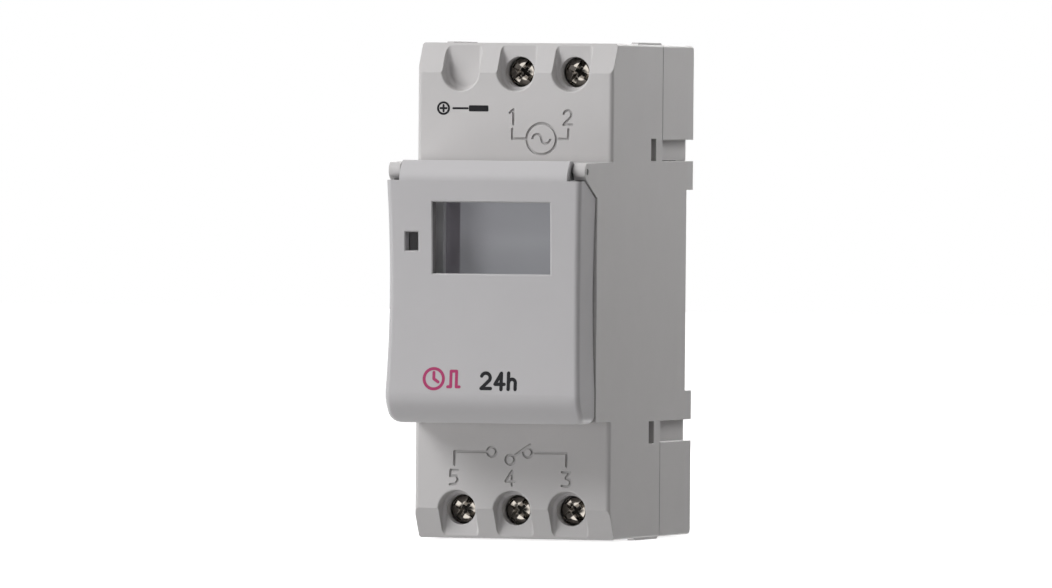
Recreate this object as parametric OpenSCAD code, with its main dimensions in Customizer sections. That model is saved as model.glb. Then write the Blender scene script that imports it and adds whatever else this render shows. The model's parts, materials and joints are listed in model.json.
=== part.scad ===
// Two-module digital time switch for a 35 mm DIN rail.
// Millimetres. X is the width, Y the depth (the front faces -Y), Z is up.
// The origin is the centre of the face that seats on the rail.

/* [Housing] */
// Overall width, two modules
body_w = 35.5; // [35:0.1:36]
// Overall height
body_h = 86; // [84:0.5:90]
// Rail seat to the terminal shoulders' front face
shoulder_d = 44; // [43.5:0.5:46]
// Rail seat to the rearmost face
back_d = 3.8; // [3.6:0.1:4.4]
// Height of the centre section that shows through a distribution board's cover
centre_h = 44.8; // [44:0.2:45]
// Wall thickness of both shells
wall = 1.5; // [1.3:0.1:1.6]
// Rail seat to the joint between the front and rear shells
joint_d = 14.7; // [13:0.5:16]

/* [Rail] */
// Height of the channel that takes the rail
channel_h = 35.3; // [35.2:0.1:35.5]
// Gap between the seat and the lips that grip behind the rail's edge
rail_grip = 1.2; // [1.1:0.1:1.4]
// How far each lip reaches over the rail's edge
lip_reach = 1.75; // [1.2:0.05:2]

/* [Door] */
// Rail seat to the middle of the door's front face
door_d = 61; // [60.5:0.5:62]
// Door width
door_w = 35.2; // [34.5:0.1:35.4]
// Thickness of the door's front plate
door_t = 2; // [1.6:0.1:2.2]
// How far the front face swells forward near its top and bottom
door_swell = 0.8; // [0.4:0.1:1]
// How far each side is drawn in at half height
door_waist = 0.4; // [0.1:0.1:0.5]

/* [Terminals] */
// Distance between neighbouring terminals
pitch = 10; // [9.8:0.1:10.2]
// Height of the screws above and below the centre
terminal_z = 38; // [37.5:0.25:38.5]
// Radius of the scoop around each screw
scoop_r = 3.35; // [3.2:0.05:3.6]
// Depth of the scoop under the shoulder face
scoop_d = 2.75; // [2.5:0.25:2.75]
// Radius of the wire entries
entry_r = 2.4; // [2:0.1:2.4]
// Radius of the screw heads
head_r = 2.4; // [2.3:0.05:2.45]
// Radius of the screw shanks
shank_r = 1.75; // [1.5:0.05:1.75]

/* [Hidden] */

$fn = 48;
EPS = 0.02;

// Colours
GREY = [0.76, 0.76, 0.75];
PANEL_GREY = [0.66, 0.67, 0.67];
KEY_DARK = [0.25, 0.27, 0.30];
STEEL = [0.62, 0.62, 0.64];
BRASS = [0.80, 0.66, 0.36];
BOARD_GREEN = [0.10, 0.38, 0.22];
BLACK = [0.10, 0.10, 0.11];

// Half sizes that most modules share
half_w = body_w / 2;
half_h = body_h / 2;
half_centre = centre_h / 2;
half_channel = channel_h / 2;
inner_w = half_w - wall;

// The bevel between the shoulder face and the top or bottom face
bevel_d = 3;
bevel_h = 5.2;

// Rounding of the shells' upright edges and of their corners seen from the front
edge_r = 0.8;
corner_r = 0.5;
base_r = 1.2;

// Low ribs along the sides of the top and bottom faces
rib_front = 28.4;
rib_rise = 0.3;
rib_w = 1.6;

// Groove around the joint between the shells
groove_w = 0.3;
groove_d = 0.25;

// Relief in the rail seat behind each lip
relief_d = 0.4;

// Snap arms of the rear shell and their windows in the front shell's sides
snap_z0 = 22.7;
snap_z1 = 26.6;
snap_y0 = 21.3;
snap_y1 = 18.3;
snap_inset = 1.4;

// Terminals: column of each of the five, and which row it is in
terminals = [[0, 1], [pitch, 1], [pitch, -1], [0, -1], [-pitch, -1]];
scoop_floor = shoulder_d - scoop_d;
scoop_rim = 0.3;
scoop_fillet = 0.6;
blank_fillet = 0.9;
head_front = scoop_floor - 1.5;
screw_hole_r = head_r + 0.25;
well_t = 2.5;
head_t = 2;
tongue_y = 31.4;
tongue_t = 0.8;
shank_end = tongue_y + 0.2;
cage_half = 3.2;
cage_wall = 0.7;
cage_plate_y = 34;
cage_plate_t = 1.8;
cage_back_y = 25.4;
cage_back_t = 1;
fit_gap = 0.05;
entry_y = (tongue_y - tongue_t + cage_back_y + cage_back_t) / 2;

// Door and its hinge
door_back = 52.7;
door_bottom = -22.7;
door_top = 22.6;
door_edge_r = 1;
door_corner_r = 1.5;
flange_t = 1.2;
hinge_y = 58.3;
hinge_z = 20.8;
stud_r = 0.55;
knuckle_r = 1.5;
knuckle_x = 15.65;
tab_half_w = knuckle_x - 0.5;
ear_foot_y = 59.5;
ear_foot_z = 19.15;
ear_root_y = 52.8;
ear_root_z = 16.2;
swell_top = 19;
swell_bottom = -17.5;
curl_top = 1.9;
curl_bottom = 3.8;
window_x = [-9.2, 12];
window_z = [3.1, 15.4];
lamp_x = -13;
lamp_z = 8.6;

// Control panel, its keys and the board behind it
panel_front = 54.5;
panel_t = 1.5;
panel_half_w = 15.5;
panel_half_h = 20.9;
lcd_x = [-9.4, 12.4];
lcd_z = [2.8, 15.8];
lcd_border = [1.8, 1.8];
lcd_front = 52.9;
lcd_t = 2;
board_t = 1.6;
board_front = 46.6;
key_size = [5.4, 3.2];
key_proud = 1.5;
key_slack = 0.15;
key_flange = 0.6;
key_flange_t = 0.8;
key_row_1 = -4.5;
key_row_2 = -12;
key_columns = [-11.1, -3.7, 3.7, 11.1];
reset_pos = [7.4, key_row_2];
reset_r = 1.3;
switch_t = 1.6;
plunger_t = 0.7;
key_gap = 0.3;

// Power board and what stands on it
power_front = 6;
power_half = [14.6, 33.4];

// Rail latch, in a T-shaped groove of the rear shell
latch_half = 5;
latch_flange = 7;
latch_y = [0.7, 1.7, 3.3];
latch_z = [-41.2, -19.5, -17.9];
latch_slack = 0.15;
spring_z = [-33.3, -24];
spring_r = 1.05;
spring_wire_r = 0.2;
spring_turns = 7;
spring_y = 2;

// ---------------------------------------------------------------- helpers

// A block between two opposite corners
module block(low, high) {
    translate(low) cube(high - low);
}

// A (Y, Z) outline carried from x0 to x1
module along_x(x0, x1) {
    translate([x0, 0, 0]) rotate([90, 0, 90]) linear_extrude(x1 - x0) children();
}

// An (X, Z) outline carried from y0 to y1
module along_y(y0, y1) {
    translate([0, y1, 0]) rotate([90, 0, 0]) linear_extrude(y1 - y0) children();
}

// A rod along Y at (x, z), from y0 to y1
module rod_y(x, z, r, y0, y1) {
    translate([x, y1, z]) rotate([90, 0, 0]) cylinder(h = y1 - y0, r = r);
}

// A rod along X at (y, z), from x0 to x1
module rod_x(y, z, r, x0, x1) {
    translate([x0, y, z]) rotate([0, 90, 0]) cylinder(h = x1 - x0, r = r);
}

// The same shape on the left and on the right
module both_sides() {
    for (side = [0, 1]) mirror([side, 0, 0]) children();
}

// The same shape above and below
module both_rows() {
    for (row = [0, 1]) mirror([0, 0, row]) children();
}

// ---------------------------------------------------------------- engraved signs

line_w = 0.42;
line_end_w = 0.4;
sign_depth = 0.3;

// A straight line with round ends
module line(a, b) {
    run = b - a;
    translate(a) rotate(atan2(run.y, run.x)) translate([0, -line_w / 2]) square([norm(run), line_w]);
    for (end = [a, b]) translate(end) circle(d = line_end_w);
}

// A chain of straight lines
module path(points) {
    for (i = [1 : len(points) - 1]) line(points[i - 1], points[i]);
}

// A ring, or its upper or lower half
module ring(centre, r, half = 0) {
    outer = r + line_w / 2;
    translate(centre) difference() {
        circle(outer);
        circle(r - line_w / 2);
        if (half != 0) translate([-outer - 1, half > 0 ? -outer - 1 : 0])
            square([2 * outer + 2, outer + 1]);
    }
}

// Numerals on a cell of 1.7 by 2.5, drawn from their centre
module numeral(n, centre) {
    translate(centre) {
        if (n == 1) path([[-0.5, 0.7], [0.15, 1.25], [0.15, -1.25]]);
        if (n == 2) {
            ring([0, 0.5], 0.7, 1);
            path([[0.7, 0.5], [0.55, 0.05], [-0.75, -1.25], [0.8, -1.25]]);
        }
        if (n == 3) path([
            [-0.75, 1.25], [0.7, 1.25], [-0.1, 0.2], [0.7, -0.1], [0.7, -0.9], [0.2, -1.25], [-0.8, -1.1]
        ]);
        if (n == 4) path([[0.35, -1.25], [0.35, 1.25], [-0.8, -0.55], [0.8, -0.55]]);
        if (n == 5) path([
            [0.7, 1.25], [-0.6, 1.25], [-0.7, 0.2], [0.4, 0.3], [0.75, -0.4], [0.3, -1.15], [-0.75, -1.25]
        ]);
    }
}

// Supply sign under the upper terminals: two leads and an alternating-current source
module supply_sign() {
    source = [4.86, 26.4];
    source_r = 2.68;
    wave_r = 0.8;
    ring(source, source_r);
    ring(source - [wave_r, 0], wave_r, 1);
    ring(source + [wave_r, 0], wave_r, -1);
    path([[-0.46, 28.1], [-0.46, source.y], [source.x - source_r, source.y]]);
    path([[9.74, 28.1], [9.74, source.y], [source.x + source_r, source.y]]);
    numeral(1, [-0.4, 30.2]);
    numeral(2, [9.6, 30.15]);
}

// Changeover contact sign above the lower terminals
module contact_sign() {
    dot_r = 0.8;
    left = [-3.67, -27.9];
    common = [-0.32, -29.2];
    right = [2.88, -27.95];
    for (dot = [left, common, right]) ring(dot, dot_r);
    line(common + [0.62, 0.56], [3.3, -26.55]);
    path([[-10.45, -30.2], [-10.45, left.y], [left.x - dot_r, left.y]]);
    path([[9.9, -30.2], [9.9, right.y], [right.x + dot_r, right.y]]);
    numeral(5, [-10.5, -32.4]);
    numeral(4, [-0.3, -32.4]);
    numeral(3, [9.9, -32.5]);
}

// ---------------------------------------------------------------- shells

// A rectangle with its corners rounded, between two opposite corners
module rounded(low, high, r) {
    translate([low.x + r, low.y]) square([high.x - low.x - 2 * r, high.y - low.y]);
    translate([low.x, low.y + r]) square([high.x - low.x, high.y - low.y - 2 * r]);
    for (x = [low.x + r, high.x - r]) for (y = [low.y + r, high.y - r]) translate([x, y]) circle(r);
}

// Side outline of both terminal shoulders, shrunk by a margin
module shoulder_outline(margin) {
    front = shoulder_d - margin;
    top = half_h - margin;
    turn = half_h - bevel_h - margin * 0.4;
    polygon([
        [-front, -turn], [-front, turn], [-front + bevel_d, top], [-joint_d, top],
        [-joint_d, -top], [-front + bevel_d, -top]
    ]);
}

// The scoop around a screw, open at the shoulder's edge
module scoop(x, r, y0, y1) {
    rod_y(x, terminal_z, r, y0, y1);
    block([x - r, y0, terminal_z], [x + r, y1, half_h]);
}

// Hinge ear: a plate that tapers forward to the knuckle
module ear() {
    difference() {
        union() {
            along_x(knuckle_x, half_w) polygon([
                [-ear_root_y, ear_root_z + 0.2], [-ear_foot_y + 0.4, ear_foot_z + 0.3],
                [-hinge_y, hinge_z + knuckle_r], [-shoulder_d, half_centre], [-shoulder_d, ear_root_z + 0.2]
            ]);
            rod_x(-hinge_y, hinge_z, knuckle_r, knuckle_x, half_w);
        }
        rod_x(-hinge_y, hinge_z, stud_r + fit_gap, knuckle_x - 1, half_w + 1);
    }
}

// The centre section's walls, and the side cheeks that run back past the rail
module centre_walls() {
    cheek_front = door_back - 0.25;
    difference() {
        union() {
            block([-half_w, -cheek_front, -half_centre], [half_w, -joint_d, half_centre]);
            block([-knuckle_x, -panel_front - 0.7, half_centre - 1.3], [knuckle_x, -joint_d, half_centre]);
            both_sides() block([inner_w, -joint_d - 1, -snap_z0], [half_w, back_d, snap_z0]);
        }
        block([-inner_w, -door_d, -half_centre + 1.3], [inner_w, -joint_d + EPS, half_centre - 1.3]);
        block([-half_w - 1, 0, -half_channel], [half_w + 1, back_d + 1, half_channel]);
    }
}

// Front shell: shoulders, centre section, hinge ears and cheeks
module front_housing() {
    color(GREY) difference() {
        union() {
            difference() {
                intersection() {
                    along_x(-half_w, half_w) shoulder_outline(0);
                    translate([0, 0, -half_h]) linear_extrude(body_h)
                        rounded([-half_w, -shoulder_d], [half_w, 0], edge_r);
                    along_y(-shoulder_d - 1, -joint_d + 1)
                        rounded([-half_w, -half_h], [half_w, half_h], corner_r);
                }
                along_x(-inner_w, inner_w) shoulder_cavity();
                block([-inner_w, -shoulder_d - 1, -half_centre + 1.3],
                      [inner_w, -joint_d, half_centre - 1.3]);
            }
            centre_walls();
            both_sides() ear();
            both_rows() {
                for (x = [-pitch, 0, pitch])
                    scoop(x, scoop_r + 1.2, -shoulder_d + 1, -scoop_floor + well_t);
                for (x = [-pitch / 2, pitch / 2])
                    block([x - 0.5, -shoulder_d + wall, 33.5], [x + 0.5, -24, half_h - wall + EPS]);
                both_sides() top_rib();
            }
        }
        interior();
        bevel_trim();
        for (row = [0, 1]) mirror([0, 0, row]) for (x = [-pitch, 0, pitch])
            scoop_cut(x, row == 0 && x < 0 ? blank_fillet : scoop_fillet);
        for (t = terminals) mirror([0, 0, t[1] > 0 ? 0 : 1]) {
            rod_y(t[0], terminal_z, screw_hole_r, -shoulder_d, -30);
            translate([t[0], -entry_y, half_h - wall - 1]) cylinder(h = wall + 2, r = entry_r);
        }
        both_sides() both_rows()
            block([inner_w - 1, -snap_y0, snap_z0], [half_w + 1, -snap_y1, snap_z1]);
        along_y(-shoulder_d - 1, -shoulder_d + sign_depth) {
            supply_sign();
            contact_sign();
        }
    }
}

// Low rib at the end of the top face, with sloped ends
module top_rib() {
    root = half_h - 0.8;
    along_x(half_w - rib_w, half_w - 0.2) polygon([
        [-rib_front, root], [-rib_front, half_h], [-rib_front + 0.4, half_h + rib_rise],
        [-joint_d - 0.6, half_h + rib_rise], [-joint_d - 0.2, half_h], [-joint_d - 0.2, root]
    ]);
}

// Room for the panel's skirt and the board between the side walls
module interior() {
    block([-inner_w, -door_back + 0.25, -half_centre + 1.3], [inner_w, -joint_d, half_centre - 1.3]);
}

// Inside of the shoulders, with the front wall left at full thickness
module shoulder_cavity() {
    shoulder_outline(wall);
    polygon([
        [-joint_d - EPS, -half_h + wall], [-joint_d - EPS, half_h - wall],
        [-joint_d + 1, half_h - wall], [-joint_d + 1, -half_h + wall]
    ]);
}

// Removes what the scoops' backing would leave outside the bevels
module bevel_trim() {
    both_rows() along_x(-half_w - 1, half_w + 1) polygon([
        [-shoulder_d, half_h - bevel_h], [-shoulder_d + bevel_d, half_h],
        [-shoulder_d + bevel_d, half_h + 1], [-shoulder_d - 1, half_h + 1],
        [-shoulder_d - 1, half_h - bevel_h]
    ]);
}

// Half of a scoop's section: its rim is eased and its floor meets the wall in a fillet
function scoop_section(fillet) = concat(
    [[0, -1], [scoop_r + scoop_rim, -1]],
    [for (i = [0 : 4]) let (a = i * 22.5)
        [scoop_r + scoop_rim * (1 - sin(a)), scoop_rim * (1 - cos(a))]],
    [for (i = [0 : 4]) let (a = i * 22.5)
        [scoop_r - fillet * (1 - cos(a)), scoop_d - fillet * (1 - sin(a))]],
    [[0, scoop_d]]
);

// The open scoop itself: a turned recess with a straight run up to the edge
module scoop_cut(x, fillet) {
    translate([x, -shoulder_d, terminal_z]) rotate([-90, 0, 0])
        rotate_extrude() polygon(scoop_section(fillet));
    for (side = [0, 1]) translate([x, -shoulder_d, terminal_z]) mirror([side, 0, 0])
        linear_extrude(half_h - terminal_z + 1) polygon(scoop_section(fillet));
}

// Rear shell: tub, rail seat, fixed hook, groove for the latch and four snap arms
module rear_base() {
    seat_w = inner_w - 0.05;
    color(GREY) difference() {
        union() {
            difference() {
                union() {
                    intersection() {
                        both_rows() block([-half_w, -joint_d, snap_z1 - 0.15], [half_w, back_d, half_h]);
                        along_y(-joint_d - 1, back_d + 1)
                            rounded([-half_w, -half_h], [half_w, half_h], corner_r);
                        along_x(-half_w - 1, half_w + 1)
                            rounded([-joint_d - 5, -half_h], [back_d, half_h], base_r);
                    }
                    both_rows() {
                        block([-half_w + snap_inset, -joint_d, snap_z0 + 0.1],
                              [half_w - snap_inset, back_d, snap_z1]);
                    }
                    block([-seat_w, -wall, -snap_z0 - 0.2], [seat_w, back_d, snap_z0 + 0.2]);
                }
                both_rows() block([-inner_w, -joint_d - 1, snap_z1 + 1.2],
                                  [inner_w, back_d - wall, half_h - wall]);
                both_rows() block([-half_w + snap_inset + 1.4, -joint_d - 1, 20],
                                  [half_w - snap_inset - 1.4, -wall, snap_z1 + 2]);
                both_rows() block([-half_w + snap_inset + 1.4, -wall - 1, half_channel + wall],
                                  [half_w - snap_inset - 1.4, back_d - wall, snap_z1 + 2]);
                block([-half_w, 0, -half_channel], [half_w, back_d + 1, half_channel]);
                joint_groove();
                block([-8.3, -relief_d, half_channel - lip_reach - 0.3], [8.3, 1, half_channel]);
                block([-latch_half - 0.3, -relief_d, -half_channel],
                      [latch_half + 0.3, 1, -half_channel + lip_reach + 0.3]);
            }
            block([-8, rail_grip, half_channel - lip_reach], [8, rail_grip + 1.8, half_channel + 1]);
            block([-latch_flange - 2, -1, -half_h + wall - 0.2],
                  [latch_flange + 2, back_d, -half_channel]);
            both_sides() both_rows() snap_arm();
        }
        latch_groove();
    }
    color(GREY) block([-1.2, latch_y[0] - 0.4, spring_z[0] - 1.5], [1.2, latch_y[2] - 0.4, spring_z[0]]);
}

// Frame that is taken off the rear shell's front rim
module joint_groove() {
    along_y(-joint_d - 1, -joint_d + groove_w) difference() {
        square([body_w + 2, body_h + 2], center = true);
        rounded([-half_w + groove_d, -half_h + groove_d], [half_w - groove_d, half_h - groove_d], corner_r);
    }
}

// One arm that reaches forward inside the front shell and hooks in its window
module snap_arm() {
    arm_out = inner_w - 0.1;
    along_y(-snap_y0 - 0.6, -joint_d + 1) translate([arm_out - 1.3, snap_z0 + 0.15])
        square([1.3, snap_z1 - snap_z0 - 0.3]);
    block([arm_out - 0.5, -snap_y0 + 0.1, snap_z0 + 0.15], [half_w - 1.1, -snap_y1 - 0.1, snap_z1 - 0.15]);
}

// T-shaped groove that guides the latch, open at the rail channel and at the bottom face
module latch_groove() {
    block([-latch_flange - latch_slack, latch_y[0] - 0.2, -half_h - 1],
          [latch_flange + latch_slack, latch_y[1] + 0.15, latch_z[1] + 0.2]);
    block([-latch_half - latch_slack, latch_y[0] - 0.2, -half_h - 1],
          [latch_half + latch_slack, back_d + 1, -half_channel + 1]);
}

// Sliding foot with a ramped nose, a window for its spring and a slot for a screwdriver
module rail_latch() {
    color(KEY_DARK) difference() {
        union() {
            block([-latch_flange, latch_y[0], latch_z[0]], [latch_flange, latch_y[1], latch_z[1]]);
            block([-latch_half, latch_y[0], latch_z[0]], [latch_half, latch_y[2], latch_z[2]]);
            along_x(-latch_half, latch_half) polygon([
                [rail_grip, latch_z[2] - 1], [rail_grip, -half_channel + lip_reach],
                [rail_grip + 0.5, -half_channel + lip_reach], [latch_y[2], -half_channel + 0.2],
                [latch_y[2], latch_z[2] - 1]
            ]);
        }
        block([-1.6, 0, spring_z[0] - 1.8], [1.6, back_d, spring_z[1]]);
        block([-2.2, 0, latch_z[0] + 1.2], [2.2, back_d, latch_z[0] + 2.6]);
    }
}

// Compression spring, a round wire swept along a helix
module latch_spring() {
    steps = spring_turns * 16;
    ring_n = 8;
    length = spring_z[1] - spring_z[0] - 2 * spring_wire_r;
    points = [
        for (i = [0 : steps]) for (j = [0 : ring_n - 1])
            let (turn = i * 360 / 16, lean = j * 360 / ring_n, r = spring_r + spring_wire_r * cos(lean))
            [r * cos(turn), spring_y + r * sin(turn),
             spring_z[0] + spring_wire_r + length * i / steps + spring_wire_r * sin(lean)]
    ];
    sides = [
        for (i = [0 : steps - 1]) for (j = [0 : ring_n - 1])
            let (a = i * ring_n + j, b = i * ring_n + (j + 1) % ring_n)
            [a, b, b + ring_n, a + ring_n]
    ];
    caps = [[for (j = [ring_n - 1 : -1 : 0]) j], [for (j = [0 : ring_n - 1]) steps * ring_n + j]];
    color(STEEL) polyhedron(points, concat(sides, caps), convexity = 8);
}

// ---------------------------------------------------------------- door

// Depth of the door's front face at a height: swollen at both ends, then curled back
function door_front(z) =
    z > swell_top
        ? -door_d - door_swell + curl_top * pow((z - swell_top) / (door_top - swell_top), 2)
    : z > 0 ? -door_d - door_swell * pow(z / swell_top, 2)
    : z > swell_bottom ? -door_d - door_swell * pow(z / swell_bottom, 2)
    : -door_d - door_swell + curl_bottom * pow((z - swell_bottom) / (door_bottom - swell_bottom), 2);

// Heights between two limits, in n equal steps
function heights(z0, z1, n) = [for (i = [0 : n]) z0 + (z1 - z0) * i / n];

// Points of the front face at some heights, moved back by an inset
function door_curve(zs, inset) = [for (z = zs) [door_front(z) + inset, z]];

// How far a round of radius r has drawn in at a distance d along it
function drawn_in(r, d) = r - sqrt(max(0, r * r - d * d));

// Half of the door's width at a height: rounded lower corners, and sides drawn in at half height
function door_half(z) =
    let (below = door_bottom + door_corner_r - z, share = z > 0 ? z / swell_top : z / swell_bottom)
    below > 0 ? door_w / 2 - drawn_in(door_corner_r, below)
    : share > 1 ? door_w / 2
    : door_w / 2 - door_waist * (1 - share * share);

// The door's outline from above at a height: square at the back, rounded at the front
function door_ring(z, n = 6) =
    let (w = door_half(z), front = door_front(z), r = door_edge_r) concat(
        [[w, -door_back, z]],
        [for (i = [0 : n]) let (a = i * 90 / n) [w - r * (1 - cos(a)), front + r * (1 - sin(a)), z]],
        [for (i = [0 : n]) let (a = i * 90 / n) [-w + r * (1 - sin(a)), front + r * (1 - cos(a)), z]],
        [[-w, -door_back, z]]
    );

// A solid through a stack of outlines that all have the same number of points
module stack(rings) {
    n = len(rings[0]);
    last = (len(rings) - 1) * n;
    sides = [
        for (i = [0 : len(rings) - 2]) for (j = [0 : n - 1]) for (half = [0, 1])
            let (a = i * n + j, b = i * n + (j + 1) % n)
            half == 0 ? [a, b, b + n] : [a, b + n, a + n]
    ];
    polyhedron(
        [for (ring = rings) each ring],
        concat(sides, [[for (j = [n - 1 : -1 : 0]) j], [for (j = [0 : n - 1]) last + j]]),
        convexity = 6
    );
}

// Front plate and flanges, without the corners where the hinge ears sit
module door_shell() {
    corner_top = door_bottom + door_corner_r;
    outer = concat(
        [for (i = [0 : 3]) corner_top - door_corner_r * cos(i * 22.5)],
        heights(corner_top, swell_bottom, 5),
        heights(swell_bottom + (swell_top - swell_bottom) / 16, swell_top, 15), [ear_foot_z]
    );
    inner = concat(
        heights(door_bottom + flange_t, swell_bottom, 6),
        heights(swell_bottom + (swell_top - swell_bottom) / 16, swell_top, 15), [ear_foot_z]
    );
    half_cavity = door_w / 2 - door_waist - flange_t;
    difference() {
        stack([for (z = outer) door_ring(z)]);
        along_x(-half_cavity, half_cavity) polygon(concat(
            door_curve(inner, door_t),
            [[door_front(ear_foot_z) + door_t, ear_foot_z + 1], [-door_back + 1, ear_foot_z + 1],
             [-door_back + 1, door_bottom + flange_t]]
        ));
        along_x(-door_w, door_w) polygon([
            [-ear_foot_y, ear_foot_z], [-ear_root_y, ear_root_z], [-door_back + 1, ear_root_z - 0.1],
            [-door_back + 1, ear_foot_z + 1], [-ear_foot_y, ear_foot_z + 1]
        ]);
    }
}

// The tab between the ears, as one sheet with the front plate
module door_tab() {
    zs = concat([swell_top], heights(ear_foot_z, door_top, 8));
    along_x(-tab_half_w, tab_half_w) polygon(concat(
        door_curve(zs, 0),
        [for (i = [len(zs) - 1 : -1 : 0]) [door_front(zs[i]) + door_t, zs[i]]]
    ));
}

// Front cover with its tab between the ears, hinge barrels and studs
module door() {
    color(GREY) difference() {
        union() {
            door_shell();
            door_tab();
            both_sides() {
                rod_x(-hinge_y, hinge_z, knuckle_r, tab_half_w - 2.4, tab_half_w);
                block([tab_half_w - 2.4, -hinge_y - 2, hinge_z - 0.8],
                      [tab_half_w, -hinge_y, hinge_z + 0.8]);
                rod_x(-hinge_y, hinge_z, stud_r, tab_half_w - EPS, half_w - 0.9);
            }
        }
        block([window_x[0], -door_d - 3, window_z[0]], [window_x[1], -door_d + 3, window_z[1]]);
        block([lamp_x - 1.15, -door_d - 3, lamp_z - 1.6], [lamp_x + 1.15, -door_d + 3, lamp_z + 1.6]);
    }
}

// ---------------------------------------------------------------- front electronics

// Where the boards' and panel's four posts stand
post_pos = [13.9, 19.6];

// Fascia with the display opening, key openings, a skirt and four posts
module control_panel() {
    back = panel_front - panel_t;
    color(PANEL_GREY) difference() {
        union() {
            block([-panel_half_w, -panel_front, -panel_half_h], [panel_half_w, -back, panel_half_h]);
            difference() {
                block([-inner_w + 0.1, -door_back + 0.4, -panel_half_h],
                      [inner_w - 0.1, -49, panel_half_h]);
                block([-inner_w + 1.1, -door_back - 1, -panel_half_h + 1],
                      [inner_w - 1.1, -48, panel_half_h - 1]);
            }
            both_sides()
                block([panel_half_w - 0.4, -back - EPS, -panel_half_h], [panel_half_w, -51, panel_half_h]);
            both_sides() both_rows() rod_y(post_pos.x, post_pos.y, 1.1, -back - EPS, -board_front);
        }
        block([lcd_x[0], -panel_front - 1, lcd_z[0]], [lcd_x[1], -back + 1, lcd_z[1]]);
        for (x = key_columns) key_opening([x, key_row_1]);
        for (x = [key_columns[0], key_columns[1]]) key_opening([x, key_row_2]);
        rod_y(reset_pos.x, reset_pos.y, reset_r + key_slack, -panel_front - 1, -back + 0.3);
        block([lamp_x - 1.15, -panel_front - 1, lamp_z - 1.6], [lamp_x + 1.15, -back + 1, lamp_z + 1.6]);
    }
}

module key_opening(pos) {
    half = key_size / 2 + [key_slack, key_slack];
    block([pos.x - half.x, -panel_front - 1, pos.y - half.y],
          [pos.x + half.x, -panel_front + panel_t + 0.3, pos.y + half.y]);
}

// Shared rear part of every key: flange behind the panel and a stem to its switch
module key_back(pos, half) {
    flange_y = -panel_front + panel_t;
    stem_end = -board_front - switch_t - plunger_t - key_gap;
    block([pos.x - half.x - key_flange, flange_y, pos.y - half.y - key_flange],
          [pos.x + half.x + key_flange, flange_y + key_flange_t, pos.y + half.y + key_flange]);
    rod_y(pos.x, pos.y, 0.9, flange_y + key_flange_t - EPS, stem_end);
}

// Rectangular key with rounded corners
module bar_key(pos, tint) {
    r = 0.7;
    half = key_size / 2;
    color(tint) union() {
        along_y(-panel_front - key_proud, -panel_front + panel_t + EPS) {
            translate([pos.x - half.x + r, pos.y - half.y]) square([key_size.x - 2 * r, key_size.y]);
            translate([pos.x - half.x, pos.y - half.y + r]) square([key_size.x, key_size.y - 2 * r]);
            for (sx = [-1, 1]) for (sz = [-1, 1])
                translate([pos.x + sx * (half.x - r), pos.y + sz * (half.y - r)]) circle(r);
        }
        key_back(pos, half);
    }
}

module key_clock() { bar_key([key_columns[0], key_row_1], KEY_DARK); }
module key_day() { bar_key([key_columns[1], key_row_1], KEY_DARK); }
module key_hour() { bar_key([key_columns[2], key_row_1], KEY_DARK); }
module key_minute() { bar_key([key_columns[3], key_row_1], KEY_DARK); }
module key_program() { bar_key([key_columns[0], key_row_2], KEY_DARK); }
module key_manual() { bar_key([key_columns[1], key_row_2], [0.62, 0.22, 0.38]); }

// Small round key, level with the panel so that it is pressed with a pen
module key_reset() {
    color(KEY_DARK) union() {
        rod_y(reset_pos.x, reset_pos.y, reset_r, -panel_front - 0.2, -panel_front + panel_t + EPS);
        key_back(reset_pos, [reset_r - 0.3, reset_r - 0.3]);
    }
}

// Tactile switches on the control board, one under each key
module key_switches() {
    places = concat(
        [for (x = key_columns) [x, key_row_1]],
        [[key_columns[0], key_row_2], [key_columns[1], key_row_2], reset_pos]
    );
    color(BLACK) for (p = places) union() {
        block([p.x - 2.2, -board_front - switch_t, p.y - 2.2], [p.x + 2.2, -board_front, p.y + 2.2]);
        rod_y(p.x, p.y, 1, -board_front - switch_t - plunger_t, -board_front - switch_t + EPS);
    }
}

// Display: two glass plates, the rear one longer to carry the contacts
module lcd_glass() {
    low = [lcd_x[0] - lcd_border.x, lcd_z[0] - lcd_border.y];
    high = [lcd_x[1] + lcd_border.x, lcd_z[1] + lcd_border.y];
    color([0.50, 0.56, 0.54]) union() {
        block([low.x, -lcd_front, low.y + 1.2], [high.x, -lcd_front + lcd_t / 2, high.y - 1.2]);
        block([low.x, -lcd_front + lcd_t / 2 - EPS, low.y], [high.x, -lcd_front + lcd_t, high.y]);
    }
}

// Open carrier that locates the display on the board
module lcd_frame() {
    low = [lcd_x[0] - lcd_border.x - 0.1, lcd_z[0] - lcd_border.y - 0.1];
    high = [lcd_x[1] + lcd_border.x + 0.1, lcd_z[1] + lcd_border.y + 0.1];
    rim = 0.6;
    color([0.88, 0.88, 0.86]) difference() {
        block([low.x - rim, -lcd_front + 0.2, low.y - rim], [high.x + rim, -board_front, high.y + rim]);
        block([low.x, -lcd_front - 1, low.y], [high.x, -board_front + 1, high.y]);
    }
}

// Two elastomer strips between the display's edges and the board
module lcd_connector() {
    color([0.82, 0.45, 0.50]) for (z = [lcd_z[0] - lcd_border.y, lcd_z[1] + lcd_border.y - 1.6])
        block([lcd_x[0] - 1.5, -lcd_front + lcd_t, z], [lcd_x[1] + 1.5, -board_front, z + 1.6]);
}

// Board behind the panel
module control_board() {
    color(BOARD_GREEN)
        block([-inner_w + 0.4, -board_front, -panel_half_h + 0.3],
              [inner_w - 0.4, -board_front + board_t, panel_half_h - 0.3]);
}

module status_led() {
    color([0.75, 0.15, 0.12])
        block([lamp_x - 0.8, -board_front - 0.9, lamp_z - 0.4], [lamp_x + 0.8, -board_front, lamp_z + 0.4]);
}

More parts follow.
